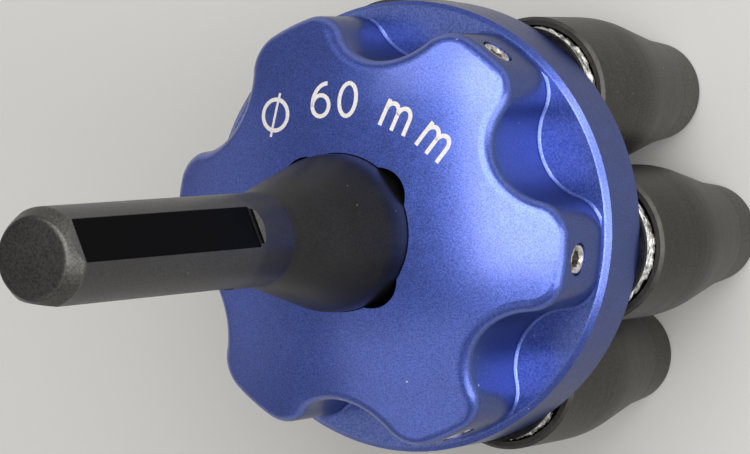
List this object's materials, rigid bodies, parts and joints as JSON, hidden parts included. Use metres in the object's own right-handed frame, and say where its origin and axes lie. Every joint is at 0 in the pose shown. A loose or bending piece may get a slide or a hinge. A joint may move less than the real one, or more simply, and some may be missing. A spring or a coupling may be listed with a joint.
{
  "type": "pipe belling tool",
  "caption": "Drill-driven belling tool whose tapered rollers run on axles in a lobed drive disc, to widen a pipe's end into a socket.",
  "frame": {"origin": "on the tool's axis, in the plane of the roller noses on which the tool stands", "axes": "+Z along the tool's axis from the roller noses to the shank's tip; +X from the axis to the first roller and its lobe"},
  "size_m": [0.06, 0.056, 0.1313],
  "materials": {
    "blue_anodised_aluminium": "bead-blasted and anodised blue",
    "blackened_steel": "turned and blackened, oiled",
    "bright_steel": "plain bright fasteners",
    "ground_steel": "ground and greased",
    "bronze": "sintered bronze soaked in oil"
  },
  "bodies": {
    "tool_body": {"drive_disc": "blue_anodised_aluminium", "shank": "blackened_steel", "shank_washer": "bright_steel", "shank_screw": "blackened_steel", "axle_set_screws": "bright_steel", "roller_end_washers": "bright_steel", "roller_end_screws": "bright_steel", "axle_1": "ground_steel", "axle_2": "ground_steel", "axle_3": "ground_steel", "axle_4": "ground_steel", "axle_5": "ground_steel", "axle_6": "ground_steel", "thrust_ring_1": "ground_steel", "thrust_ring_2": "ground_steel", "thrust_ring_3": "ground_steel", "thrust_ring_4": "ground_steel", "thrust_ring_5": "ground_steel", "thrust_ring_6": "ground_steel", "shim_washer_1": "bright_steel", "shim_washer_2": "bright_steel", "shim_washer_3": "bright_steel", "shim_washer_4": "bright_steel", "shim_washer_5": "bright_steel", "shim_washer_6": "bright_steel"},
    "roller_1": {"roller_1": "blackened_steel", "big_bush_1": "bronze", "nose_bush_1": "bronze"},
    "roller_2": {"roller_2": "blackened_steel", "big_bush_2": "bronze", "nose_bush_2": "bronze"},
    "roller_3": {"roller_3": "blackened_steel", "big_bush_3": "bronze", "nose_bush_3": "bronze"},
    "roller_4": {"roller_4": "blackened_steel", "big_bush_4": "bronze", "nose_bush_4": "bronze"},
    "roller_5": {"roller_5": "blackened_steel", "big_bush_5": "bronze", "nose_bush_5": "bronze"},
    "roller_6": {"roller_6": "blackened_steel", "big_bush_6": "bronze", "nose_bush_6": "bronze"}
  },
  "joints": [
    {"name": "roller_1_spin", "type": "hinge", "parent": "tool_body", "child": "roller_1", "pos_m": [0.0203, 0, 0.018], "axis": [0, 0, 1], "continuous": true},
    {"name": "roller_2_spin", "type": "hinge", "parent": "tool_body", "child": "roller_2", "pos_m": [0.01015, 0.01758, 0.018], "axis": [0, 0, 1], "continuous": true},
    {"name": "roller_3_spin", "type": "hinge", "parent": "tool_body", "child": "roller_3", "pos_m": [-0.01015, 0.01758, 0.018], "axis": [0, 0, 1], "continuous": true},
    {"name": "roller_4_spin", "type": "hinge", "parent": "tool_body", "child": "roller_4", "pos_m": [-0.0203, 0, 0.018], "axis": [0, 0, 1], "continuous": true},
    {"name": "roller_5_spin", "type": "hinge", "parent": "tool_body", "child": "roller_5", "pos_m": [-0.01015, -0.01758, 0.018], "axis": [0, 0, 1], "continuous": true},
    {"name": "roller_6_spin", "type": "hinge", "parent": "tool_body", "child": "roller_6", "pos_m": [0.01015, -0.01758, 0.018], "axis": [0, 0, 1], "continuous": true}
  ]
}
